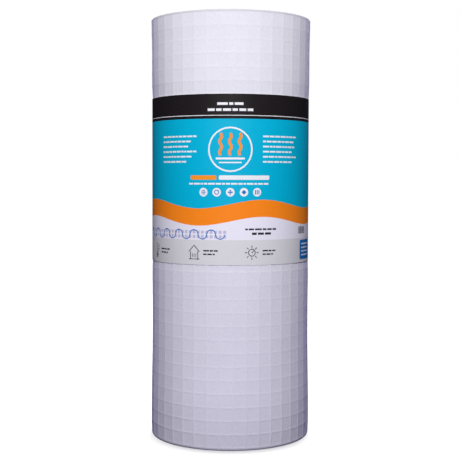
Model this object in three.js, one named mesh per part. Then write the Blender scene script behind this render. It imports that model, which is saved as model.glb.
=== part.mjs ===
// A roll of underfloor heating mat, standing on end, with a printed paper sleeve round its middle.
// The mat is a thin studded sheet with fleece on its back, wound with the fleece outwards.
// Sizes are millimetres and +Z is up. The origin is the centre of the bottom end.

import * as THREE from 'three';

// The mat, as it is made and wound.
const MAT_WIDTH = 1000; // across the mat, which is the height of the standing roll
const MAT_THICKNESS = 5.5; // from the fleece to the tops of the studs
const TURN_GAP = 0.5; // slack between one turn and the next
const TURN_COUNT = 17;
const BORE_DIAMETER = 177; // the roll is wound on no core

// The groove that shows between two turns on each end of the roll.
const GROOVE_WIDTH = 1.6; // at its mouth
const GROOVE_DEPTH = 8;

// The paper sleeve, measured along the roll from its top end.
const SLEEVE_DROP = 188; // bare mat above the sleeve
const SLEEVE_HEIGHT = 387;
const SLEEVE_THICKNESS = 0.4;
const SLEEVE_CLEARANCE = 0.3; // between the sleeve and the fleece

const SIDES = 48; // flats round the roll and the sleeve

const turnPitch = MAT_THICKNESS + TURN_GAP;
const boreRadius = BORE_DIAMETER / 2;
const rollRadius = boreRadius + TURN_COUNT * turnPitch;

// The points of one end of the roll, from the bore outwards: a flat for each turn, and a groove on
// both sides of it. The end lies at the height end, and its grooves run towards the height into.
function woundEnd(end, into) {
  const grooveBottom = end + Math.sign(into - end) * GROOVE_DEPTH;
  const points = [new THREE.Vector2(boreRadius, grooveBottom)];
  for (let turn = 0; turn < TURN_COUNT; turn++) {
    const inner = boreRadius + turn * turnPitch;
    const outer = inner + turnPitch;
    points.push(new THREE.Vector2(inner + GROOVE_WIDTH / 2, end));
    points.push(new THREE.Vector2(outer - GROOVE_WIDTH / 2, end));
    points.push(new THREE.Vector2(outer, grooveBottom));
  }
  return points;
}

// Turns a closed outline of radius and height about the roll's axis.
function turned(outline) {
  const geometry = new THREE.LatheGeometry([...outline, outline[0]], SIDES);
  return geometry.rotateX(Math.PI / 2);
}

function matRoll() {
  const bottom = woundEnd(0, MAT_WIDTH);
  const top = woundEnd(MAT_WIDTH, 0);
  const fleece = new THREE.MeshStandardMaterial({ color: 0xd6d3e6, roughness: 0.85, metalness: 0 });
  const mesh = new THREE.Mesh(turned([...bottom, ...top.reverse()]), fleece);
  mesh.name = 'mat_roll';
  return mesh;
}

function paperSleeve() {
  const inner = rollRadius + SLEEVE_CLEARANCE;
  const outer = inner + SLEEVE_THICKNESS;
  const outline = [
    new THREE.Vector2(inner, 0),
    new THREE.Vector2(outer, 0),
    new THREE.Vector2(outer, SLEEVE_HEIGHT),
    new THREE.Vector2(inner, SLEEVE_HEIGHT),
  ];
  const print = new THREE.MeshStandardMaterial({ color: 0x12a0c8, roughness: 0.45, metalness: 0 });
  const mesh = new THREE.Mesh(turned(outline), print);
  mesh.name = 'paper_sleeve';
  mesh.position.z = MAT_WIDTH - SLEEVE_DROP - SLEEVE_HEIGHT;
  return mesh;
}

const heatingMatRoll = new THREE.Group();
heatingMatRoll.add(matRoll(), paperSleeve());

export default heatingMatRoll;
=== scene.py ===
# A roll of underfloor heating mat, standing on end, with a printed paper sleeve round its middle.
# The mat is laid out flat, cell by cell, and then wound on a spiral path. Sizes are metres.
import math
import random

import bmesh
import bpy
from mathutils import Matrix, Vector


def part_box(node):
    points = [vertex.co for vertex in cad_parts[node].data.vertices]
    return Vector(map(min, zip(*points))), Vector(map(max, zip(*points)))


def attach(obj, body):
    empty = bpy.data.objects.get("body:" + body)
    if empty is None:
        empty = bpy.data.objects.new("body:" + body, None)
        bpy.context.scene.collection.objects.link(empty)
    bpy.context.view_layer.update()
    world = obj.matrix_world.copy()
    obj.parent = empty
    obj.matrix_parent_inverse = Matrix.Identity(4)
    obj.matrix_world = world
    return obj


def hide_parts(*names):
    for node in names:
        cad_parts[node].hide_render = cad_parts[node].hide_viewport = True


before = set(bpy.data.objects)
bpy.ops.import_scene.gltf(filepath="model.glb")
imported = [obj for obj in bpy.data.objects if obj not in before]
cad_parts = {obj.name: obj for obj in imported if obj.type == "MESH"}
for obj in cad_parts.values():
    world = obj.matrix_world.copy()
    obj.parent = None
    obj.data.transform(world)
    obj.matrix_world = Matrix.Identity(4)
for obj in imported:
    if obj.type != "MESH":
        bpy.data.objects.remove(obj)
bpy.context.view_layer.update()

_, roll_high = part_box("mat_roll")
sleeve_low, sleeve_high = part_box("paper_sleeve")

# The roll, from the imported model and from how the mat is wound.
MAT_WIDTH = roll_high[2]
ROLL_RADIUS = roll_high[0]
TURN_COUNT = 17
TURN_PITCH = 0.006
STEPS_PER_TURN = 120

# The mat's outer edge lies at the back. Behind it each turn climbs on to the one below.
TAIL_ANGLE = math.radians(68.6)
CLIMB_SHARE = 1 / 6
CLIMB_END = TAIL_ANGLE + CLIMB_SHARE * math.tau

# One cell of the mat: a quilted square of fleece with a stud behind it.
ROW_COUNT = 32
BOTTOM_MARGIN = 0.006
TOP_MARGIN = 0.003
ROW_PITCH = (MAT_WIDTH - BOTTOM_MARGIN - TOP_MARGIN) / ROW_COUNT
COLUMN_PITCH = 0.0306
SHEET_THICKNESS = 0.0012
RIDGE_WIDTH = 0.0026
PANEL_CORNER = 0.0070
PANEL_SLOPE = 0.0024
TOP_PANEL_DEPTH = 0.00038
BOTTOM_PANEL_DEPTH = 0.0010
UNEVENNESS = 0.0004
FOLD_BOW = 0.49
CHANNEL_WIDTH = 0.0062
STUD_CORNER = 0.006
STUD_RISE = 0.0036
STUD_TAPER = 0.93
SHOULDER = 0.0007
MAT_THICKNESS = SHEET_THICKNESS + STUD_RISE + SHOULDER
DIMPLE_EDGE = 0.0055
DIMPLE_DEPTH = 0.0008

# Points closer than this are one point.
MERGE_DISTANCE = 0.00001

# How much of the mat each visible piece takes, in columns of cells.
BORE_COLUMNS = 22
OUTER_COLUMNS = 42

# The paper sleeve. It is pulled tight, so it draws in the mat and bridges the dip at the back.
SLEEVE_BOTTOM = sleeve_low[2]
SLEEVE_HEIGHT = sleeve_high[2] - sleeve_low[2]
SLEEVE_RADIUS = sleeve_high[0]
PAPER_THICKNESS = 0.0004
SQUEEZE = 0.0015
SLEEVE_COLUMN = 0.005
LAP_ANGLE = math.radians(170)
LAP_LENGTH = 0.03
LAP_LIFT = 0.00045
LAP_RAMP = math.radians(12)
SLEEVE_STEPS = 240
SLEEVE_TURN = math.tau + LAP_LENGTH / SLEEVE_RADIUS
FRONT_ANGLE = math.radians(270)

# The print, in heights above the sleeve's lower edge.
STRIP_TOP = 0.057
BAND_MIDDLE = 0.119
BAND_HEIGHT = 0.039
BAND_SWELL = 0.010
BAND_WAVES = 4
HEADER_BOTTOM = 0.331
INK_THICKNESS = 0.00005


# Selecting and editing

def deselect_all():
    bpy.ops.object.select_all(action="DESELECT")


def make_active(piece):
    deselect_all()
    piece.select_set(True)
    bpy.context.view_layer.objects.active = piece


def open_for_editing(piece):
    make_active(piece)
    bpy.ops.object.mode_set(mode="EDIT")
    bpy.ops.mesh.select_all(action="SELECT")


def close_editing():
    bpy.ops.object.mode_set(mode="OBJECT")


def middle_of(part):
    """The middle of an edge or a face."""
    corners = [vertex.co for vertex in part.verts]
    return sum(corners, corners[0] * 0) / len(corners)


def pick_panels(piece):
    """Selects only the faces with more than four sides, which are the rounded squares."""
    bpy.ops.mesh.select_mode(type="FACE")
    bpy.ops.mesh.select_all(action="DESELECT")
    mesh = bmesh.from_edit_mesh(piece.data)
    for face in mesh.faces:
        face.select_set(len(face.verts) > 4)
    bmesh.update_edit_mesh(piece.data)


def pick_open_edges(piece, test):
    """Selects only the edges with a face on one side whose middle passes the test."""
    bpy.ops.mesh.select_mode(type="EDGE")
    bpy.ops.mesh.select_all(action="DESELECT")
    mesh = bmesh.from_edit_mesh(piece.data)
    for edge in mesh.edges:
        edge.select_set(edge.is_boundary and test(middle_of(edge)))
    bmesh.update_edit_mesh(piece.data)


def move_selected(x=0.0, y=0.0, z=0.0):
    bpy.ops.transform.translate(value=(x, y, z))


def extrude_selected(x=0.0, y=0.0, z=0.0):
    bpy.ops.mesh.extrude_region_move(TRANSFORM_OT_translate={"value": (x, y, z)})


def join(name, pieces):
    make_active(pieces[0])
    for piece in pieces:
        piece.select_set(True)
    bpy.ops.object.join()
    pieces[0].name = name
    return pieces[0]


def apply_modifier(piece, modifier):
    make_active(piece)
    bpy.ops.object.modifier_apply(modifier=modifier.name)


def repeat(piece, count, offset):
    """Lays a row of copies side by side and closes the seams between them."""
    array = piece.modifiers.new("row", "ARRAY")
    array.count = count
    array.use_relative_offset = False
    array.use_constant_offset = True
    array.constant_offset_displace = offset
    array.use_merge_vertices = True
    array.merge_threshold = MERGE_DISTANCE
    apply_modifier(piece, array)


def bend_along(piece, path):
    """Bends a flat piece on a path: its X runs along the path and its -Y side ends up outside."""
    bend = piece.modifiers.new("bend", "CURVE")
    bend.object = path
    bend.deform_axis = "POS_X"
    apply_modifier(piece, bend)


def keep_flat_place(piece, origin_x=0.0, origin_z=0.0):
    """Stores where each point lies on the flat sheet, which the materials' patterns follow."""
    places = piece.data.attributes.new("flat_place", "FLOAT_VECTOR", "POINT")
    for vertex, place in zip(piece.data.vertices, places.data):
        place.vector = (vertex.co.x - origin_x, vertex.co.y, vertex.co.z - origin_z)


def smooth_below(piece, degrees):
    make_active(piece)
    bpy.ops.object.shade_smooth_by_angle(angle=math.radians(degrees))


def take_part(piece, node=None):
    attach(piece, "root")
    if node:
        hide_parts(node)


# Paths that the flat pieces are bent on

def ease(share):
    share = min(max(share, 0.0), 1.0)
    return share * share * (3 - 2 * share)


def mat_point(turns):
    """Where the fleece is, so many turns back from the mat's outer edge."""
    whole = math.floor(turns)
    drop = ease((turns - whole - (1 - CLIMB_SHARE)) / CLIMB_SHARE)
    return polar(ROLL_RADIUS - TURN_PITCH * (whole + drop), TAIL_ANGLE - turns * math.tau)


def outline_radius(angle):
    """Radius of the finished roll, which dips behind the mat's outer edge."""
    share = (angle - TAIL_ANGLE) / (CLIMB_END - TAIL_ANGLE)
    if 0 < share <= 1:
        return ROLL_RADIUS - TURN_PITCH * (1 - ease(share))
    return ROLL_RADIUS


def polar(radius, angle):
    return (radius * math.cos(angle), radius * math.sin(angle))


def cross(a, b):
    return a[0] * b[1] - a[1] * b[0]


def taut_radius(angle):
    """Radius of a band pulled tight over the roll: it bridges the dip in a straight line."""
    start = polar(ROLL_RADIUS, TAIL_ANGLE)
    onward = polar(1.0, TAIL_ANGLE + math.pi / 2)
    turn = CLIMB_END - TAIL_ANGLE
    steps = 60
    touch_angle, line, lowest = TAIL_ANGLE, None, math.inf
    for step in range(1, steps + 1):
        place = TAIL_ANGLE + turn * step / steps
        end = polar(outline_radius(place), place)
        reach = (end[0] - start[0], end[1] - start[1])
        slope = cross(onward, reach) / math.hypot(*reach)
        if slope < lowest:
            touch_angle, line, lowest = place, reach, slope
    if TAIL_ANGLE < angle < touch_angle:
        return cross(start, line) / cross(polar(1.0, angle), line)
    return outline_radius(angle)


def make_path(name, points):
    data = bpy.data.curves.new(name, "CURVE")
    data.dimensions = "2D"
    spline = data.splines.new("POLY")
    spline.points.add(len(points) - 1)
    for point, (x, y) in zip(spline.points, points):
        point.co = (x, y, 0, 1)
    path = bpy.data.objects.new(name, data)
    bpy.context.collection.objects.link(path)
    return path


def path_length(points):
    return sum(math.dist(a, b) for a, b in zip(points, points[1:]))


def next_fold(turns):
    """How far back the mat's next fold is, one column's width away in a straight line."""
    ahead = turns + COLUMN_PITCH / (math.tau * ROLL_RADIUS)
    for _ in range(8):
        reach = math.dist(mat_point(turns), mat_point(ahead))
        ahead += (COLUMN_PITCH - reach) / (math.tau * ROLL_RADIUS)
    return ahead


def mat_path_points():
    """The mat's path from its inner edge. Its outer turn is nearly flat from fold to fold."""
    turns = 0.0
    points = [mat_point(turns)]
    bow = FOLD_BOW * COLUMN_PITCH ** 2 / (8 * ROLL_RADIUS)
    for _ in range(OUTER_COLUMNS):
        before, turns = points[-1], next_fold(turns)
        after = mat_point(turns)
        middle = ((before[0] + after[0]) / 2, (before[1] + after[1]) / 2)
        outward = 1 + bow / math.hypot(*middle)
        points += [(middle[0] * outward, middle[1] * outward), after]
    steps = round((TURN_COUNT - CLIMB_SHARE - turns) * STEPS_PER_TURN)
    step = (TURN_COUNT - CLIMB_SHARE - turns) / steps
    points += [mat_point(turns + step * count) for count in range(1, steps + 1)]
    spare = path_length(points) % COLUMN_PITCH
    last_step = math.dist(points[-2], points[-1])
    while last_step < spare:
        points.pop()
        spare -= last_step
        last_step = math.dist(points[-2], points[-1])
    share = spare / last_step
    points[-1] = tuple(end + share * (start - end) for start, end in zip(points[-2], points[-1]))
    return points[::-1]


def sleeve_path_points():
    """Once round the roll from the lap, and on over the sleeve's own start."""
    start = LAP_ANGLE - math.tau
    points = []
    for step in range(SLEEVE_STEPS + 1):
        angle = start + SLEEVE_TURN * step / SLEEVE_STEPS
        past_lap = (angle - LAP_ANGLE + LAP_RAMP) / LAP_RAMP
        rise = SLEEVE_RADIUS - ROLL_RADIUS - SQUEEZE + LAP_LIFT * ease(past_lap)
        points.append(polar(taut_radius(angle) + rise, angle))
    return points


mat_points = mat_path_points()
mat_path = make_path("mat_path", mat_points)
column_count = round(path_length(mat_points) / COLUMN_PITCH)

sleeve_points = sleeve_path_points()
sleeve_path = make_path("sleeve_path", sleeve_points)
sleeve_length = path_length(sleeve_points)
sleeve_columns = round(sleeve_length / SLEEVE_COLUMN)
front_step = round((FRONT_ANGLE - LAP_ANGLE) / SLEEVE_TURN * SLEEVE_STEPS)
SLEEVE_FRONT = path_length(sleeve_points[:front_step + 1])
PANEL_SPACING = math.tau * SLEEVE_RADIUS / 2


# Shader building

def feed(tree, sockets, values):
    """Sets each named or numbered socket to its value, or links it where that is a socket."""
    for key, value in values.items():
        if isinstance(value, bpy.types.NodeSocket):
            tree.links.new(value, sockets[key])
        else:
            sockets[key].default_value = value


def add_node(tree, kind, inputs=None, **options):
    """Adds a node, sets its options, and sets or links its inputs."""
    node = tree.nodes.new(kind)
    for option, value in options.items():
        setattr(node, option, value)
    feed(tree, node.inputs, inputs or {})
    return node


def calculate(tree, operation, a, b=0.0, c=0.0):
    return add_node(tree, "ShaderNodeMath", {0: a, 1: b, 2: c}, operation=operation).outputs[0]


def noise(tree, place, scale, detail=2.0, distortion=0.0):
    inputs = {"Vector": place, "Scale": scale, "Detail": detail, "Distortion": distortion}
    return add_node(tree, "ShaderNodeTexNoise", inputs).outputs["Fac"]


def spread(tree, value, low, high, new_low=0.0, new_high=1.0):
    """Stretches a value's range to a new one, with both ends held."""
    inputs = {"Value": value, "From Min": low, "From Max": high, "To Min": new_low, "To Max": new_high}
    return add_node(tree, "ShaderNodeMapRange", inputs).outputs["Result"]


def blend_colours(tree, share, first, second, mode="MIX"):
    """Mixes two colours. The mix node's sockets for colours have no names of their own."""
    inputs = {0: share, 6: first, 7: second}
    return add_node(tree, "ShaderNodeMix", inputs, data_type="RGBA", blend_type=mode).outputs[2]


def stretched(tree, place, scale):
    return add_node(tree, "ShaderNodeMapping", {"Vector": place, "Scale": scale}).outputs["Vector"]


def flat_place(tree):
    return add_node(tree, "ShaderNodeAttribute", attribute_name="flat_place").outputs["Vector"]


def object_place(tree):
    return add_node(tree, "ShaderNodeTexCoord").outputs["Object"]


def bump(tree, height, distance, strength=1.0):
    inputs = {"Height": height, "Distance": distance, "Strength": strength}
    return add_node(tree, "ShaderNodeBump", inputs).outputs["Normal"]


def new_group(name, inputs, outputs):
    """Starts a shader node group; inputs and outputs are names with their kinds of socket."""
    group = bpy.data.node_groups.new(name, "ShaderNodeTree")
    for socket, kind in inputs.items():
        group.interface.new_socket(name=socket, in_out="INPUT", socket_type=kind)
    for socket, kind in outputs.items():
        group.interface.new_socket(name=socket, in_out="OUTPUT", socket_type=kind)
    entry = group.nodes.new("NodeGroupInput")
    leave = group.nodes.new("NodeGroupOutput")
    return group, entry.outputs, leave.inputs


def use_group(tree, group, inputs):
    return add_node(tree, "ShaderNodeGroup", inputs, node_tree=group).outputs


def new_material(name):
    material = bpy.data.materials.new(name)
    material.use_nodes = True
    return material, material.node_tree, material.node_tree.nodes["Principled BSDF"]


def shade_by(tree, colour, tone):
    """Multiplies a colour by a tone value."""
    grey = add_node(tree, "ShaderNodeCombineColor", {"Red": tone, "Green": tone, "Blue": tone})
    return blend_colours(tree, 1.0, colour, grey.outputs["Color"], "MULTIPLY")


# Effects that several materials share

def make_fibre_group():
    """Matted fibres: two layers of fine streaks that cross, and clumps between them."""
    group, entry, leave = new_group(
        "matted_fibres",
        {"Place": "NodeSocketVector", "Fineness": "NodeSocketFloat"},
        {"Height": "NodeSocketFloat", "Clumps": "NodeSocketFloat"},
    )
    inputs = {0: entry["Place"], "Scale": entry["Fineness"]}
    place = add_node(group, "ShaderNodeVectorMath", inputs, operation="SCALE").outputs["Vector"]
    streaks = noise(group, stretched(group, place, (1.0, 1.0, 0.18)), 1.0, 3.0, 1.2)
    crossing = noise(group, stretched(group, place, (0.2, 1.0, 1.1)), 1.0, 3.0, 1.5)
    clumps = noise(group, place, 0.12, 4.0, 0.4)
    height = calculate(group, "MAXIMUM", streaks, crossing)
    feed(group, leave, {"Height": height, "Clumps": clumps})
    return group


def make_mottle_group():
    """Broad unevenness of tone, such as handling and the thickness of a sheet give."""
    group, entry, leave = new_group(
        "uneven_tone",
        {"Place": "NodeSocketVector", "Size": "NodeSocketFloat", "Amount": "NodeSocketFloat"},
        {"Tone": "NodeSocketFloat"},
    )
    scale = calculate(group, "DIVIDE", 1.0, entry["Size"])
    broad = noise(group, entry["Place"], scale, 5.0)
    centred = calculate(group, "SUBTRACT", broad, 0.5)
    amount = calculate(group, "MULTIPLY", centred, entry["Amount"])
    feed(group, leave, {"Tone": calculate(group, "ADD", amount, 1.0)})
    return group


def make_coated_paper_group():
    """Coated paper under print: fine tooth, faint ripples and scuffs in its gloss and tone."""
    group, entry, leave = new_group(
        "coated_paper",
        {"Place": "NodeSocketVector"},
        {"Height": "NodeSocketFloat", "Gloss": "NodeSocketFloat", "Tone": "NodeSocketFloat"},
    )
    tooth = noise(group, entry["Place"], 2600.0, 2.0)
    ripple = noise(group, stretched(group, entry["Place"], (1.0, 1.0, 0.35)), 26.0, 2.0, 0.3)
    scuffs = noise(group, stretched(group, entry["Place"], (0.3, 1.0, 1.0)), 210.0, 5.0, 0.6)
    feed(group, leave, {
        "Height": calculate(group, "MULTIPLY_ADD", tooth, 0.06, ripple),
        "Gloss": spread(group, scuffs, 0.45, 0.75, 0.46, 0.62),
        "Tone": spread(group, scuffs, 0.3, 0.8, 0.985, 1.02),
    })
    return group


fibre_group = make_fibre_group()
mottle_group = make_mottle_group()
paper_group = make_coated_paper_group()


# Materials

FLEECE_PANEL = (0.745, 0.738, 0.792, 1.0)
FLEECE_RIDGE = (0.752, 0.745, 0.799, 1.0)
FLEECE_SHEEN = (0.25, 0.12, 1.0, 1.0)
SHEET_FLAT = (0.70, 0.69, 0.79, 1.0)
SHEET_DRAWN = (0.60, 0.59, 0.70, 1.0)
SLIT_EDGE = (0.78, 0.77, 0.86, 1.0)
BARE_PAPER = (0.74, 0.73, 0.70, 1.0)
WORN_PAPER = (0.80, 0.80, 0.80, 1.0)
BLACK = (0.0135, 0.0105, 0.0115, 1.0)
BLUE = (0.0, 0.445, 0.660, 1.0)
ORANGE = (0.97, 0.250, 0.012, 1.0)
PALE = (0.84, 0.83, 0.90, 1.0)
STRIP_GREY = (0.700, 0.705, 0.700, 1.0)

# Painted shade on the fleece: how much darker it is made along its slit edges, where the rims fall in
# shadow, and near the floor, where the floor's shadow falls.
SLIT_EDGE_SHADE_TONE = 0.80
FLOOR_SHADE_TONE = 0.86
FLOOR_SHADE_HEIGHT = 0.13


def make_fleece():
    """Pale lavender fleece, whiter on the ridges where it is bonded to the sheet behind."""
    material, tree, shader = new_material("fleece")
    place = flat_place(tree)
    axes = add_node(tree, "ShaderNodeSeparateXYZ", {"Vector": place}).outputs
    from_column = calculate(tree, "PINGPONG", axes["X"], COLUMN_PITCH / 2)
    from_margin = calculate(tree, "SUBTRACT", axes["Z"], BOTTOM_MARGIN)
    from_row = calculate(tree, "PINGPONG", from_margin, ROW_PITCH / 2)
    from_ridge = calculate(tree, "MINIMUM", from_column, from_row)
    on_ridge = spread(tree, from_ridge, RIDGE_WIDTH * 0.35, RIDGE_WIDTH * 0.95, 1.0, 0.0)
    fibres = use_group(tree, fibre_group, {"Place": place, "Fineness": 1500.0})
    mottle = use_group(tree, mottle_group, {"Place": place, "Size": 0.09, "Amount": 0.09})
    colour = blend_colours(tree, on_ridge, FLEECE_PANEL, FLEECE_RIDGE)
    from_end = calculate(tree, "PINGPONG", axes["Z"], MAT_WIDTH / 2)
    # Painted shade: the fleece is made darker along both slit edges, where the rims fall in shadow.
    colour = shade_by(tree, colour, spread(tree, from_end, 0.0030, 0.0065, SLIT_EDGE_SHADE_TONE, 1.0))
    # Painted shade: the fleece is made darker towards the floor.
    colour = shade_by(tree, colour, spread(tree, axes["Z"], 0.0, FLOOR_SHADE_HEIGHT, FLOOR_SHADE_TONE, 1.0))
    colour = shade_by(tree, colour, mottle["Tone"])
    colour = shade_by(tree, colour, spread(tree, fibres["Clumps"], 0.3, 0.7, 0.965, 1.03))
    bonds = add_node(tree, "ShaderNodeTexVoronoi", {"Vector": place, "Scale": 620.0})
    dimples = spread(tree, bonds.outputs["Distance"], 0.1, 0.45)
    relief = calculate(tree, "MULTIPLY_ADD", dimples, 0.5, fibres["Height"])
    feed(tree, shader.inputs, {
        "Base Color": colour,
        "Roughness": 0.88,
        "Sheen Weight": 0.16,
        "Sheen Roughness": 0.4,
        "Sheen Tint": FLEECE_SHEEN,
        "Normal": bump(tree, relief, 0.00025, 0.7),
    })
    return material


def make_studded_sheet():
    """Milky formed plastic, a little thinner and greyer where it was drawn into studs."""
    material, tree, shader = new_material("studded_sheet")
    place = flat_place(tree)
    depth = add_node(tree, "ShaderNodeSeparateXYZ", {"Vector": place}).outputs["Y"]
    drawn = spread(tree, depth, SHEET_THICKNESS, MAT_THICKNESS)
    mottle = use_group(tree, mottle_group, {"Place": place, "Size": 0.02, "Amount": 0.12})
    colour = blend_colours(tree, drawn, SHEET_FLAT, SHEET_DRAWN)
    colour = shade_by(tree, colour, mottle["Tone"])
    flow = noise(tree, place, 900.0, 3.0, 0.6)
    feed(tree, shader.inputs, {
        "Base Color": colour,
        "Roughness": spread(tree, flow, 0.3, 0.7, 0.5, 0.64),
        "Specular IOR Level": 0.3,
        "Normal": bump(tree, flow, 0.0001, 0.5),
    })
    return material


def make_cut_edge():
    """The slit edge of the mat: fleece on one side of it and plastic on the other."""
    material, tree, shader = new_material("cut_edge")
    place = flat_place(tree)
    fibres = use_group(tree, fibre_group, {"Place": place, "Fineness": 2600.0})
    tone = spread(tree, fibres["Height"], 0.4, 0.75, 0.86, 1.06)
    feed(tree, shader.inputs, {
        "Base Color": shade_by(tree, SLIT_EDGE, tone),
        "Roughness": 0.75,
        "Normal": bump(tree, fibres["Height"], 0.0003),
    })
    return material


def coat_with_paper(tree, shader, colour, place, wear=None):
    """Finishes a printed or bare paper surface."""
    paper = use_group(tree, paper_group, {"Place": place})
    colour = shade_by(tree, colour, paper["Tone"])
    if wear is not None:
        colour = blend_colours(tree, wear, colour, WORN_PAPER)
    feed(tree, shader.inputs, {
        "Base Color": colour,
        "Roughness": paper["Gloss"],
        "Specular IOR Level": 0.12,
        "Normal": bump(tree, paper["Height"], 0.0006, 0.35),
    })


def make_sleeve_print():
    """Flat areas of the print: header, field, wavy band, pale zone and grey strip."""
    material, tree, shader = new_material("sleeve_print")
    place = flat_place(tree)
    axes = add_node(tree, "ShaderNodeSeparateXYZ", {"Vector": place}).outputs
    across, height = axes["X"], axes["Z"]
    waves_per_metre = BAND_WAVES / (math.tau * SLEEVE_RADIUS)
    swell = calculate(tree, "SINE", calculate(tree, "MULTIPLY", across, math.tau * waves_per_metre))
    level = calculate(tree, "MULTIPLY_ADD", swell, -BAND_SWELL, height)
    colour = BLUE
    below_field = calculate(tree, "LESS_THAN", level, BAND_MIDDLE + BAND_HEIGHT / 2)
    colour = blend_colours(tree, below_field, colour, ORANGE)
    below_band = calculate(tree, "LESS_THAN", level, BAND_MIDDLE - BAND_HEIGHT / 2)
    colour = blend_colours(tree, below_band, colour, PALE)
    in_strip = calculate(tree, "LESS_THAN", height, STRIP_TOP)
    colour = blend_colours(tree, in_strip, colour, STRIP_GREY)
    in_header = calculate(tree, "GREATER_THAN", height, HEADER_BOTTOM)
    colour = blend_colours(tree, in_header, colour, BLACK)
    from_edge = calculate(tree, "PINGPONG", height, SLEEVE_HEIGHT / 2)
    ragged = noise(tree, place, 420.0, 4.0)
    wear_depth = calculate(tree, "MULTIPLY", ragged, 0.0016)
    worn = calculate(tree, "LESS_THAN", from_edge, calculate(tree, "SUBTRACT", wear_depth, 0.0006))
    coat_with_paper(tree, shader, colour, place, calculate(tree, "MULTIPLY", worn, 0.7))
    return material


def make_paper_material(name, colour):
    material, tree, shader = new_material(name)
    coat_with_paper(tree, shader, colour, flat_place(tree))
    return material


fleece = make_fleece()
studded_sheet = make_studded_sheet()
cut_edge = make_cut_edge()
sleeve_print = make_sleeve_print()
bare_paper = make_paper_material("bare_paper", BARE_PAPER)
inks = {
    "white": make_paper_material("white_ink", (0.84, 0.85, 0.86, 1.0)),
    "dark": make_paper_material("dark_ink", (0.035, 0.034, 0.036, 1.0)),
    "orange": make_paper_material("orange_ink", (0.93, 0.30, 0.02, 1.0)),
    "blue": make_paper_material("blue_ink", (0.010, 0.170, 0.480, 1.0)),
    "lilac": make_paper_material("lilac_ink", (0.56, 0.54, 0.68, 1.0)),
}


# The wound mat

def cell_with_panel(name, depth, faces_out, border, corner):
    """One flat cell with a rounded square inside its border, which is left selected."""
    deselect_all()
    turn = (math.radians(90 if faces_out else -90), 0, 0)
    centre = (COLUMN_PITCH / 2, depth, ROW_PITCH / 2)
    bpy.ops.mesh.primitive_plane_add(size=1, location=centre, rotation=turn)
    cell = bpy.context.object
    cell.name = name
    bpy.ops.object.transform_apply(location=True, rotation=True, scale=True)
    open_for_editing(cell)
    panel_size = (COLUMN_PITCH - border, 1, ROW_PITCH - border)
    bpy.ops.transform.resize(value=panel_size, center_override=centre)
    bpy.ops.mesh.bevel(offset=corner, segments=3, affect="VERTICES")
    bpy.ops.mesh.primitive_plane_add(size=1, location=centre, rotation=turn)
    bpy.ops.transform.resize(value=(COLUMN_PITCH, 1, ROW_PITCH), center_override=centre)
    bpy.ops.mesh.delete(type="ONLY_FACE")
    bpy.ops.mesh.select_mode(type="EDGE")
    bpy.ops.mesh.select_all(action="SELECT")
    bpy.ops.mesh.fill(use_beauty=True)
    bpy.ops.mesh.select_all(action="SELECT")
    bpy.ops.mesh.normals_make_consistent(inside=False)
    looks_out = bmesh.from_edit_mesh(cell.data).faces[0].normal.y < 0
    if looks_out != faces_out:
        bpy.ops.mesh.flip_normals()
    pick_panels(cell)
    return cell


def panel_depth(row):
    """How deep a row's panels are pressed: more and more towards the bottom of the roll."""
    drop = 1 - row / (ROW_COUNT - 1)
    return TOP_PANEL_DEPTH + (BOTTOM_PANEL_DEPTH - TOP_PANEL_DEPTH) * drop ** 10


def fleece_cell(depth):
    """The outside of a cell: a flat square sunk between soft ridges."""
    cell = cell_with_panel("fleece_cell", 0.0, True, RIDGE_WIDTH, PANEL_CORNER)
    bpy.ops.mesh.inset(thickness=PANEL_SLOPE)
    move_selected(y=depth)
    close_editing()
    cell.data.materials.append(fleece)
    return cell


def stud_cell():
    """The inside of a cell: a tapered stud with a rounded shoulder and a dimple on top."""
    cell = cell_with_panel("stud_cell", SHEET_THICKNESS, False, CHANNEL_WIDTH, STUD_CORNER)
    extrude_selected(y=STUD_RISE)
    centre = (COLUMN_PITCH / 2, SHEET_THICKNESS + STUD_RISE, ROW_PITCH / 2)
    bpy.ops.transform.resize(value=(STUD_TAPER, 1, STUD_TAPER), center_override=centre)
    bpy.ops.mesh.inset(thickness=SHOULDER)
    move_selected(y=SHOULDER)
    bpy.ops.mesh.inset(thickness=DIMPLE_EDGE)
    move_selected(y=-DIMPLE_DEPTH)
    close_editing()
    cell.data.materials.append(studded_sheet)
    return cell


def plain_cell(name, depth, faces_out, material):
    deselect_all()
    turn = (math.radians(90 if faces_out else -90), 0, 0)
    centre = (COLUMN_PITCH / 2, depth, ROW_PITCH / 2)
    bpy.ops.mesh.primitive_plane_add(size=1, location=centre, rotation=turn)
    cell = bpy.context.object
    cell.name = name
    cell.scale = (COLUMN_PITCH, ROW_PITCH, 1)
    bpy.ops.object.transform_apply(location=True, rotation=True, scale=True)
    cell.data.materials.append(material)
    return cell


def halve(cell):
    """Cuts a cell upright down its middle, so that it can bow a little."""
    open_for_editing(cell)
    bpy.ops.mesh.bisect(plane_co=(COLUMN_PITCH / 2, 0, 0), plane_no=(1, 0, 0))
    close_editing()
    return cell


def lay_cells(cell, first_column, columns, first_row, rows):
    """Repeats a cell over a stretch of the mat and uses the cell up."""
    cell.location = (first_column * COLUMN_PITCH, 0, BOTTOM_MARGIN + first_row * ROW_PITCH)
    make_active(cell)
    bpy.ops.object.transform_apply(location=True, rotation=False, scale=False)
    repeat(cell, columns, (COLUMN_PITCH, 0, 0))
    if rows > 1:
        repeat(cell, rows, (0, 0, ROW_PITCH))
    return cell


TOP_EDGE_STEPS = ((0.0015, 0.0), (0.0009, 0.0003), (0.0006, 0.0006))
BOTTOM_EDGE_STEPS = ((-0.0026, 0.0003), (-0.0019, 0.0010), (-0.0015, 0.0016))


def finish_edge(mat, height, steps):
    """Adds the plain margin beyond the last ridge, which turns in slightly."""
    pick_open_edges(mat, lambda middle: abs(middle.z - height) < 0.0001)
    for rise, inward in steps:
        extrude_selected(y=inward, z=rise)


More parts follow.
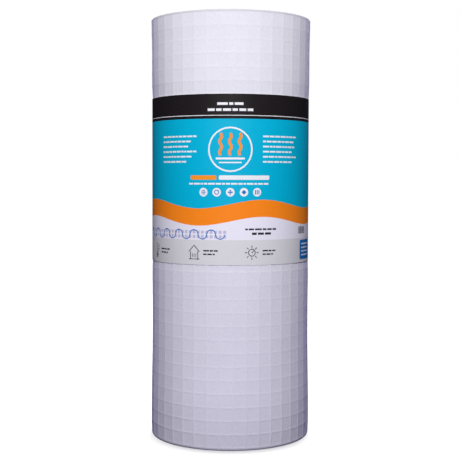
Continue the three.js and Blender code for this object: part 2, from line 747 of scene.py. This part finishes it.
# Where the roll swells or is drawn in: from and to a height, how far out, and over what reach.
SWELLS = (
    (MAT_WIDTH - 0.005, MAT_WIDTH, 0.0013, 0.07),
    (0.03, 0.05, 0.0019, 0.17),
    (0.26, 0.36, -0.0007, 0.12),
    (0.0, 0.005, -0.0009, 0.028),
    (SLEEVE_BOTTOM - 0.002, SLEEVE_BOTTOM + SLEEVE_HEIGHT + 0.002, -SQUEEZE, 0.04),
)


def bulge(mat):
    """Lets the roll swell towards both of its ends, and draws it in under the tight sleeve."""
    open_for_editing(mat)
    for low, high, swell, reach in SWELLS:
        bpy.ops.mesh.select_mode(type="VERT")
        bpy.ops.mesh.select_all(action="DESELECT")
        mesh = bmesh.from_edit_mesh(mat.data)
        for vertex in mesh.verts:
            vertex.select_set(low <= vertex.co.z <= high)
        bmesh.update_edit_mesh(mat.data)
        bpy.ops.transform.translate(
            value=(0, -swell, 0), use_proportional_edit=True, proportional_size=reach,
            proportional_edit_falloff="SMOOTH",
        )
    close_editing()


def make_uneven(mat):
    """Gives the mat the slight unevenness of a sheet wound by hand."""
    waves = bpy.data.textures.new("waves", "CLOUDS")
    waves.noise_scale = 0.09
    waves.noise_depth = 1
    shift = mat.modifiers.new("unevenness", "DISPLACE")
    shift.texture = waves
    shift.direction = "Y"
    shift.strength = UNEVENNESS
    shift.mid_level = 0.5
    apply_modifier(mat, shift)
    bpy.data.textures.remove(waves)


def keep_panels_flat(mat):
    """Shades the large faces flat, with the bends between them soft."""
    weighting = mat.modifiers.new("weighting", "WEIGHTED_NORMAL")
    weighting.keep_sharp = True
    apply_modifier(mat, weighting)


def wind(name, sheets, outermost=False):
    """Joins the two faces of a stretch of mat, closes its edges and winds it on the spiral."""
    mat = join(name, sheets)
    open_for_editing(mat)
    bpy.ops.mesh.remove_doubles(threshold=MERGE_DISTANCE)
    finish_edge(mat, MAT_WIDTH - TOP_MARGIN, TOP_EDGE_STEPS)
    finish_edge(mat, BOTTOM_MARGIN, BOTTOM_EDGE_STEPS)
    pick_open_edges(mat, lambda middle: True)
    bpy.ops.mesh.bridge_edge_loops()
    mat.data.materials.append(cut_edge)
    mat.active_material_index = len(mat.data.materials) - 1
    bpy.ops.object.material_slot_assign()
    close_editing()
    keep_flat_place(mat)
    if outermost:
        make_uneven(mat)
        bulge(mat)
    bend_along(mat, mat_path)
    smooth_below(mat, 58)
    keep_panels_flat(mat)
    return mat


def make_outer_wrap():
    """The outermost turn: quilted fleece outside, and studs where they show at its two ends."""
    first = column_count - OUTER_COLUMNS
    last_row = ROW_COUNT - 1
    outside = [
        lay_cells(halve(fleece_cell(panel_depth(row))), first, OUTER_COLUMNS, row, 1)
        for row in range(ROW_COUNT)
    ]
    low_studs = lay_cells(halve(stud_cell()), first, OUTER_COLUMNS, 0, 1)
    high_studs = lay_cells(halve(stud_cell()), first, OUTER_COLUMNS, last_row, 1)
    back = halve(plain_cell("back_cell", SHEET_THICKNESS, False, studded_sheet))
    back = lay_cells(back, first, OUTER_COLUMNS, 1, ROW_COUNT - 2)
    wrap = wind("outer_wrap", [*outside, low_studs, back, high_studs], outermost=True)
    take_part(wrap, "mat_roll")


def make_bore_wrap():
    """The innermost turn, whose studs line the bore."""
    outside = plain_cell("outside_cell", 0.0, True, fleece)
    outside = lay_cells(outside, 0, BORE_COLUMNS, 0, ROW_COUNT)
    studs = lay_cells(stud_cell(), 0, BORE_COLUMNS, 0, ROW_COUNT)
    wrap = wind("bore_wrap", [outside, studs])
    take_part(wrap, "mat_roll")


def make_end_turns(name, row):
    """One row of cells through all the turns between, which shows at an end of the roll."""
    columns = column_count - BORE_COLUMNS - OUTER_COLUMNS
    outside = plain_cell("outside_cell", 0.0, True, fleece)
    outside = lay_cells(outside, BORE_COLUMNS, columns, row, 1)
    studs = lay_cells(stud_cell(), BORE_COLUMNS, columns, row, 1)
    turns = wind(name, [outside, studs])
    take_part(turns, "mat_roll")


def make_inner_turns():
    """The turns between the two end rows, hidden but for glimpses down the channels."""
    columns = column_count - BORE_COLUMNS - OUTER_COLUMNS
    rows = ROW_COUNT - 2
    turns = plain_cell("inner_turns", 0.0, True, studded_sheet)
    turns.location = (BORE_COLUMNS * COLUMN_PITCH, 0, BOTTOM_MARGIN + ROW_PITCH)
    turns.scale = (1, 1, rows)
    bpy.ops.object.transform_apply(location=True, rotation=False, scale=True)
    repeat(turns, columns, (COLUMN_PITCH, 0, 0))
    open_for_editing(turns)
    extrude_selected(y=MAT_THICKNESS)
    bpy.ops.mesh.select_all(action="SELECT")
    bpy.ops.mesh.normals_make_consistent(inside=False)
    close_editing()
    keep_flat_place(turns)
    bend_along(turns, mat_path)
    take_part(turns, "mat_roll")


# The paper sleeve and its print

def make_sleeve():
    """One strip of paper round the roll, with its end glued down over its start."""
    rows = 24
    deselect_all()
    centre = (sleeve_length / 2, 0, SLEEVE_BOTTOM + SLEEVE_HEIGHT / 2)
    bpy.ops.mesh.primitive_grid_add(
        x_subdivisions=sleeve_columns, y_subdivisions=rows, size=1, location=centre,
        rotation=(math.radians(90), 0, 0),
    )
    sleeve = bpy.context.object
    sleeve.name = "printed_sleeve"
    sleeve.scale = (sleeve_length, SLEEVE_HEIGHT, 1)
    bpy.ops.object.transform_apply(location=True, rotation=True, scale=True)
    sleeve.data.materials.append(sleeve_print)
    sleeve.data.materials.append(bare_paper)
    thickness = sleeve.modifiers.new("thickness", "SOLIDIFY")
    thickness.thickness = PAPER_THICKNESS
    thickness.offset = -1
    thickness.material_offset = 1
    thickness.material_offset_rim = 1
    apply_modifier(sleeve, thickness)
    keep_flat_place(sleeve, SLEEVE_FRONT, SLEEVE_BOTTOM)
    bend_along(sleeve, sleeve_path)
    smooth_below(sleeve, 40)
    take_part(sleeve, "paper_sleeve")


def start_ink(name):
    """An empty mesh in edit mode, which marks are then drawn into."""
    mesh = bpy.data.meshes.new(name)
    ink = bpy.data.objects.new(name, mesh)
    bpy.context.collection.objects.link(ink)
    open_for_editing(ink)
    return ink


UPRIGHT = (math.radians(90), 0, 0)


def draw_bar(across, height, width, tall, tilt=0.0, corner=0.0):
    """A flat bar on the print, centred on a place and turned by tilt."""
    centre = (across, 0, height)
    bpy.ops.mesh.primitive_plane_add(size=1, location=centre, rotation=UPRIGHT)
    bpy.ops.transform.resize(value=(width, 1, tall), center_override=centre)
    if tilt:
        bpy.ops.transform.rotate(value=tilt, orient_axis="Y", center_override=centre)
    if corner:
        bpy.ops.mesh.bevel(offset=corner, segments=3, affect="VERTICES")


def draw_line(start, end, width):
    """A straight stroke with round ends between two places."""
    reach = (end[0] - start[0], end[1] - start[1])
    middle = ((start[0] + end[0]) / 2, (start[1] + end[1]) / 2)
    length = math.hypot(*reach) + width
    draw_bar(*middle, length, width, math.atan2(reach[1], reach[0]), width * 0.45)


def draw_disc(across, height, radius):
    bpy.ops.mesh.primitive_circle_add(
        vertices=28, radius=radius, fill_type="NGON", location=(across, 0, height), rotation=UPRIGHT)


def draw_ring(across, height, radius, width):
    draw_disc(across, height, radius)
    bpy.ops.mesh.inset(thickness=width)
    bpy.ops.mesh.delete(type="FACE")


def draw_words(left, height, length, tall, seed):
    """A line of plain bars as long as words."""
    lengths = random.Random(seed)
    place = left
    while place < left + length - 2 * tall:
        word = min(tall * lengths.uniform(1.4, 4.2), left + length - place)
        draw_bar(place + word / 2, height, word, tall)
        place += word + tall * 0.55


# How near the pen an edge must be to carry the stroke on.
PEN_REACH = 0.0004


def draw_arcs(across, height, heading, width, arcs):
    """A stroke of arcs, each given as its radius and its turn, positive to the left."""
    draw_bar(across, height, width * 0.1, width, heading)
    for radius, turn in arcs:
        ahead = (math.cos(heading), math.sin(heading))
        side = math.copysign(1, turn)
        centre = (across - ahead[1] * radius * side, height + ahead[0] * radius * side)
        select_leading_edge((across, height), ahead)
        steps = max(3, round(abs(turn) / math.radians(15)))
        bpy.ops.mesh.spin(steps=steps, angle=turn, center=(centre[0], 0, centre[1]), axis=(0, 1, 0))
        heading += turn
        across = centre[0] + math.sin(heading) * radius * side
        height = centre[1] - math.cos(heading) * radius * side


def select_leading_edge(place, ahead):
    """Selects the edge across the pen's line at a place, at the front of what is drawn."""
    ink = bpy.context.object
    bpy.ops.mesh.select_mode(type="EDGE")
    bpy.ops.mesh.select_all(action="DESELECT")
    mesh = bmesh.from_edit_mesh(ink.data)
    best, lead = None, -math.inf
    for edge in mesh.edges:
        middle = middle_of(edge)
        away = math.hypot(middle.x - place[0], middle.z - place[1])
        along = (middle.x - place[0]) * ahead[0] + (middle.z - place[1]) * ahead[1]
        if edge.is_boundary and away < PEN_REACH and along > lead:
            best, lead = edge, along
    best.select_set(True)
    bmesh.update_edit_mesh(ink.data)


def finish_ink(ink, colour, layer=1):
    """Cuts the marks along the sleeve's own columns and lays them on the sleeve."""
    mesh = bmesh.from_edit_mesh(ink.data)
    left = min(vertex.co.x for vertex in mesh.verts)
    right = max(vertex.co.x for vertex in mesh.verts)
    column = sleeve_length / sleeve_columns
    bpy.ops.mesh.select_mode(type="VERT")
    for step in range(math.ceil(left / column), math.ceil(right / column)):
        bpy.ops.mesh.select_all(action="SELECT")
        bpy.ops.mesh.bisect(plane_co=(step * column, 0, 0), plane_no=(1, 0, 0))
    bpy.ops.mesh.select_all(action="SELECT")
    move_selected(y=-INK_THICKNESS * layer, z=SLEEVE_BOTTOM)
    close_editing()
    ink.data.materials.append(inks[colour])
    body = ink.modifiers.new("body", "SOLIDIFY")
    body.thickness = INK_THICKNESS * layer
    body.offset = -1
    apply_modifier(ink, body)
    keep_flat_place(ink, SLEEVE_FRONT, SLEEVE_BOTTOM)
    bend_along(ink, sleeve_path)
    take_part(ink)


def panel_centres():
    """Where the print's two equal panels are centred: the front, and the back beside the lap."""
    return (SLEEVE_FRONT, SLEEVE_FRONT + PANEL_SPACING)


# The heat emblem: a ring with three rising waves over a floor.
EMBLEM_HEIGHT = 0.262
EMBLEM_RADIUS = 0.051
EMBLEM_LINE = 0.0036
WAVE_SPACING = 0.022
WAVE_RADIUS = 0.0092
WAVE_LINE = 0.0062


def draw_emblem_frame(centre):
    draw_ring(centre, EMBLEM_HEIGHT, EMBLEM_RADIUS, EMBLEM_LINE)
    draw_bar(centre, EMBLEM_HEIGHT - 0.0205, 0.066, 0.0046, corner=0.0015)
    draw_bar(centre, EMBLEM_HEIGHT - 0.0295, 0.052, 0.0030, corner=0.001)


def draw_heat_waves(centre, base, radius, width, spacing):
    turn = math.radians(84)
    sway = [(radius, -turn), (radius, turn)] * 2
    for place in (-1, 0, 1):
        draw_arcs(centre + place * spacing, base, math.radians(90) + turn / 2, width, sway)


# How tall the words are on each part of the print, and how far apart their lines.
HEADER_WORDS = 0.0058
FIELD_WORDS = 0.0038
FIELD_LINE_STEP = 0.0115
STRIP_WORDS = 0.0034
BLOCK_WORDS = 0.0032
BLOCK_LINE_STEP = 0.0088

# The title bar, orange and white, and the row of discs below it.
TITLE_HEIGHT = 0.1985
TITLE_TALL = 0.0100
TITLE_CORNER = 0.0024
DISC_HEIGHT = 0.1655
DISC_SPACING = 0.031
DISC_RADIUS = 0.0098


def draw_side_lines(centre):
    """Six lines of words on each side of the emblem."""
    for line in range(6):
        height = EMBLEM_HEIGHT + 0.030 - line * FIELD_LINE_STEP
        draw_words(centre - 0.182, height, 0.108 - 0.012 * (line % 3), FIELD_WORDS, line)
        draw_words(centre + 0.076, height, 0.100 - 0.010 * (line % 2), FIELD_WORDS, 20 + line)


def draw_title(centre):
    """The white part of the title bar, the words under it and the row of discs."""
    draw_bar(centre + 0.033, TITLE_HEIGHT, 0.118, TITLE_TALL, corner=TITLE_CORNER)
    draw_words(centre - 0.098, TITLE_HEIGHT - 0.0140, 0.196, FIELD_WORDS, 40)
    for place in range(-2, 3):
        draw_disc(centre + place * DISC_SPACING, DISC_HEIGHT, DISC_RADIUS)


def draw_header(centre):
    """A thin rule along the header's lower edge, and two lines of words above it."""
    draw_bar(centre, HEADER_BOTTOM + 0.0075, 0.585, 0.0014)
    draw_words(centre - 0.052, HEADER_BOTTOM + 0.020, 0.104, HEADER_WORDS, 50)
    draw_words(centre - 0.030, HEADER_BOTTOM + 0.0335, 0.060, HEADER_WORDS, 52)


def draw_block_lines(centre):
    """Four lines of words on the blue block."""
    for line in range(4):
        height = 0.0435 - line * BLOCK_LINE_STEP
        draw_words(centre + 0.206, height, 0.052 - 0.008 * (line % 2), BLOCK_WORDS, 60 + line)


def make_white_marks():
    ink = start_ink("white_marks")
    for centre in panel_centres():
        draw_emblem_frame(centre)
        draw_side_lines(centre)
        draw_title(centre)
        draw_header(centre)
        draw_block_lines(centre)
    finish_ink(ink, "white", 2)


def make_orange_marks():
    ink = start_ink("orange_marks")
    for centre in panel_centres():
        draw_heat_waves(centre, EMBLEM_HEIGHT - 0.013, WAVE_RADIUS, WAVE_LINE, WAVE_SPACING)
        draw_bar(centre - 0.063, TITLE_HEIGHT, 0.062, TITLE_TALL, corner=TITLE_CORNER)
    finish_ink(ink, "orange")


def draw_thermometer(across, height):
    line = 0.0017
    draw_ring(across, height - 0.0115, 0.0062, line)
    draw_disc(across, height - 0.0115, 0.0032)
    draw_line((across - 0.0032, height - 0.0062), (across - 0.0032, height + 0.0125), line)
    draw_line((across + 0.0032, height - 0.0062), (across + 0.0032, height + 0.0125), line)
    draw_arcs(across + 0.0032, height + 0.0125, math.radians(90), line, [(0.0032, math.pi)])
    for mark in range(4):
        draw_line((across + 0.0075, height - 0.002 + mark * 0.0046),
                  (across + 0.0115, height - 0.002 + mark * 0.0046), line * 0.8)


def draw_house(across, height):
    line = 0.0018
    eaves = height + 0.002
    draw_line((across - 0.013, eaves), (across, height + 0.016), line)
    draw_line((across + 0.013, eaves), (across, height + 0.016), line)
    draw_line((across - 0.0095, eaves), (across - 0.0095, height - 0.0155), line)
    draw_line((across + 0.0095, eaves), (across + 0.0095, height - 0.0155), line)
    draw_line((across - 0.0125, height - 0.0155), (across + 0.0125, height - 0.0155), line)
    for place in (-0.0045, 0.0, 0.0045):
        draw_line((across + place, height - 0.011), (across + place, height - 0.0035), line * 0.8)


def draw_dial(across, height):
    line = 0.0018
    draw_ring(across, height, 0.0088, line)
    draw_line((across, height), (across + 0.0042, height + 0.0036), line)
    for tick in range(8):
        angle = math.radians(45 * tick)
        inner = (across + 0.0115 * math.cos(angle), height + 0.0115 * math.sin(angle))
        outer = (across + 0.0155 * math.cos(angle), height + 0.0155 * math.sin(angle))
        draw_line(inner, outer, line)


def draw_code_bars(left, height):
    """A block of thin upright bars of different widths."""
    widths = random.Random(5)
    place = left
    for _ in range(13):
        width = widths.choice((0.0008, 0.0013, 0.0021))
        draw_bar(place + width / 2, height, width, 0.017)
        place += width + widths.choice((0.0009, 0.0015))


def make_dark_marks():
    """The strip's symbols and words, and the pale panel's words and code."""
    ink = start_ink("dark_marks")
    middle = STRIP_TOP / 2
    for centre in panel_centres():
        draw_thermometer(centre - 0.215, middle)
        draw_house(centre - 0.085, middle)
        draw_dial(centre + 0.050, middle)
        for left in (-0.192, -0.062, 0.076):
            draw_words(centre + left, middle + 0.004, 0.040, STRIP_WORDS, 70)
            draw_words(centre + left, middle - 0.004, 0.032, STRIP_WORDS, 71)
        draw_words(centre + 0.034, 0.0815, 0.086, 0.0040, 72)
        draw_words(centre + 0.050, 0.0715, 0.052, 0.0052, 73)
        draw_code_bars(centre + 0.190, 0.0765)
    finish_ink(ink, "dark")


def make_blue_block():
    ink = start_ink("blue_block")
    for centre in panel_centres():
        draw_bar(centre + 0.230, STRIP_TOP / 2 + 0.0015, 0.066, 0.046, corner=0.004)
    finish_ink(ink, "blue")


def draw_disc_symbols(centre):
    """One plain symbol in each of the five white discs."""
    height = DISC_HEIGHT
    lines = centre - 2 * DISC_SPACING
    draw_bar(lines, height, 0.0105, 0.0024, corner=0.0008)
    draw_bar(lines, height + 0.0040, 0.0075, 0.0018, corner=0.0006)
    draw_bar(lines, height - 0.0040, 0.0075, 0.0018, corner=0.0006)
    draw_ring(centre - DISC_SPACING, height, 0.0056, 0.0018)
    draw_bar(centre, height, 0.0110, 0.0030, corner=0.0008)
    draw_bar(centre, height + 0.0038, 0.0030, 0.0034, corner=0.0008)
    draw_bar(centre, height - 0.0038, 0.0030, 0.0034, corner=0.0008)
    draw_bar(centre + DISC_SPACING, height, 0.0080, 0.0080, math.radians(45), 0.0010)
    for place in (-0.0042, 0.0, 0.0042):
        draw_bar(centre + 2 * DISC_SPACING + place, height, 0.0022, 0.0100, corner=0.0008)


# The pale panel: rows of stud marks, with a cable laid in curves between them.
STUD_MARKS_START = -0.262
STUD_MARKS_HEIGHT = 0.0645
STUD_MARK_PITCH = 0.0104
STUD_MARK_SIZE = 0.0072
CABLE_HEIGHT = 0.0695


def draw_cable(centre):
    """A heating cable laid in curves between the studs of the pale panel."""
    radius = STUD_MARK_PITCH
    start = (centre + STUD_MARKS_START, CABLE_HEIGHT)
    draw_arcs(*start, math.radians(90), 0.0022, [(radius, -math.pi), (radius, math.pi)] * 6)


def make_blue_marks():
    ink = start_ink("blue_marks")
    for centre in panel_centres():
        draw_disc_symbols(centre)
        draw_cable(centre)
    finish_ink(ink, "blue", 3)


def make_lilac_marks():
    """The pale panel's studs, seen from above."""
    ink = start_ink("lilac_marks")
    for centre in panel_centres():
        for column in range(25):
            for row in range(2):
                across = centre + STUD_MARKS_START + column * STUD_MARK_PITCH
                height = STUD_MARKS_HEIGHT + row * STUD_MARK_PITCH
                draw_bar(across, height, STUD_MARK_SIZE, STUD_MARK_SIZE, corner=0.0016)
    finish_ink(ink, "lilac")


# The stage, the lights and the camera

WHITE = (1.0, 1.0, 1.0, 1.0)

# The floor's colour for the light it throws back, and the painted soft shadow round the roll's foot.
FLOOR_BOUNCE = (0.05, 0.04, 0.11, 1.0)
SHADOW_OFFSET = 0.030
SHADOW_REACH = 0.056
SHADOW_TONE = 0.36


def make_floor():
    """A pale floor. It looks brighter to the camera than it lights the roll, as a lit sweep does, and
    has a painted soft shadow round the roll's foot.
    """
    deselect_all()
    bpy.ops.mesh.primitive_plane_add(size=30, location=(0, 0, 0))
    floor = bpy.context.object
    floor.name = "floor"
    material, tree, shader = new_material("pale_floor")
    seen = add_node(tree, "ShaderNodeLightPath").outputs["Is Camera Ray"]
    place = object_place(tree)
    inputs = {0: place, 1: (0, -SHADOW_OFFSET, 0)}
    away = add_node(tree, "ShaderNodeVectorMath", inputs, operation="DISTANCE").outputs["Value"]
    nearest = ROLL_RADIUS - SHADOW_OFFSET
    # Painted shadow: the floor's glow is dimmed round the roll's foot, a little more in front of it.
    glow = spread(tree, away, nearest, nearest + SHADOW_REACH, SHADOW_TONE, 1.0)
    tone = spread(tree, noise(tree, place, 60.0, 3.0), 0.3, 0.7, 0.30, 0.32)
    light = add_node(tree, "ShaderNodeCombineColor", {"Red": tone, "Green": tone, "Blue": tone})
    feed(tree, shader.inputs, {
        "Base Color": blend_colours(tree, seen, FLOOR_BOUNCE, light.outputs["Color"]),
        "Roughness": 0.9,
        "Emission Color": WHITE,
        "Emission Strength": calculate(tree, "MULTIPLY", seen, glow),
    })
    floor.data.materials.append(material)


FILL_STRENGTH = 0.05
FILL_COLOUR = (0.60, 0.53, 1.25, 1.0)


def make_world():
    """White to the camera, and a dimmer even fill to the roll."""
    world = bpy.data.worlds.new("studio")
    bpy.context.scene.world = world
    world.use_nodes = True
    tree = world.node_tree
    background = tree.nodes["Background"]
    seen = add_node(tree, "ShaderNodeLightPath").outputs["Is Camera Ray"]
    tree.links.new(blend_colours(tree, seen, FILL_COLOUR, WHITE), background.inputs["Color"])
    strength = spread(tree, seen, 0.0, 1.0, FILL_STRENGTH, 1.0)
    tree.links.new(strength, background.inputs["Strength"])


def make_soft_light(name, place, aim, size, power, colour=(1, 1, 1)):
    """A rectangle of light that faces the place it is aimed at."""
    data = bpy.data.lights.new(name, "AREA")
    data.shape = "RECTANGLE"
    data.size, data.size_y = size
    data.energy = power
    data.color = colour
    light = bpy.data.objects.new(name, data)
    bpy.context.collection.objects.link(light)
    light.location = place
    light.visible_camera = False
    reach = [end - start for end, start in zip(aim, place)]
    light.rotation_euler = (
        math.atan2(math.hypot(reach[0], reach[1]), -reach[2]), 0, math.atan2(-reach[0], reach[1]))


PHOTO_WIDTH = 460
FOCAL_PIXELS = 1020.0
SENSOR_WIDTH = 36
CAMERA_PLACE = (-0.0009, -2.491, 0.6164)
CAMERA_TILT = math.radians(90 - 2.765)
CAMERA_ROLL = math.radians(-0.15)


def make_camera():
    """The photograph's view: level with the roll's upper half and tilted slightly down."""
    data = bpy.data.cameras.new("camera")
    data.sensor_width = SENSOR_WIDTH
    data.lens = FOCAL_PIXELS / PHOTO_WIDTH * SENSOR_WIDTH
    camera = bpy.data.objects.new("camera", data)
    bpy.context.collection.objects.link(camera)
    camera.location = CAMERA_PLACE
    camera.rotation_euler = (CAMERA_TILT, CAMERA_ROLL, 0)
    bpy.context.scene.camera = camera


def make_stage():
    make_floor()
    make_world()
    make_soft_light("front_softbox", (-0.06, -2.9, 2.1), (0, 0, 0.7), (0.9, 0.9), 101)
    make_soft_light("left_softbox", (-0.85, -0.25, 1.8), (0, 0, 0.95), (0.4, 0.5), 3.5)
    make_soft_light("right_softbox", (0.85, -0.25, 1.8), (0, 0, 0.95), (0.4, 0.5), 3.7)
    make_soft_light("back_softbox", (0.5, 2.9, 2.1), (0, 0, 0.7), (1.7, 1.2), 80)
    make_soft_light("low_glow", (0, -0.9, 0.06), (0, 0, 0.10), (1.0, 0.08), 0.5, (0.40, 0.14, 1.0))
    bpy.context.scene.view_settings.view_transform = "Standard"
    make_camera()


# Making the object

make_stage()
make_outer_wrap()
make_bore_wrap()
make_end_turns("bottom_turns", 0)
make_end_turns("top_turns", ROW_COUNT - 1)
make_inner_turns()
make_sleeve()
make_white_marks()
make_orange_marks()
make_dark_marks()
make_blue_block()
make_blue_marks()
make_lilac_marks()
for path in (mat_path, sleeve_path):
    bpy.data.objects.remove(path)
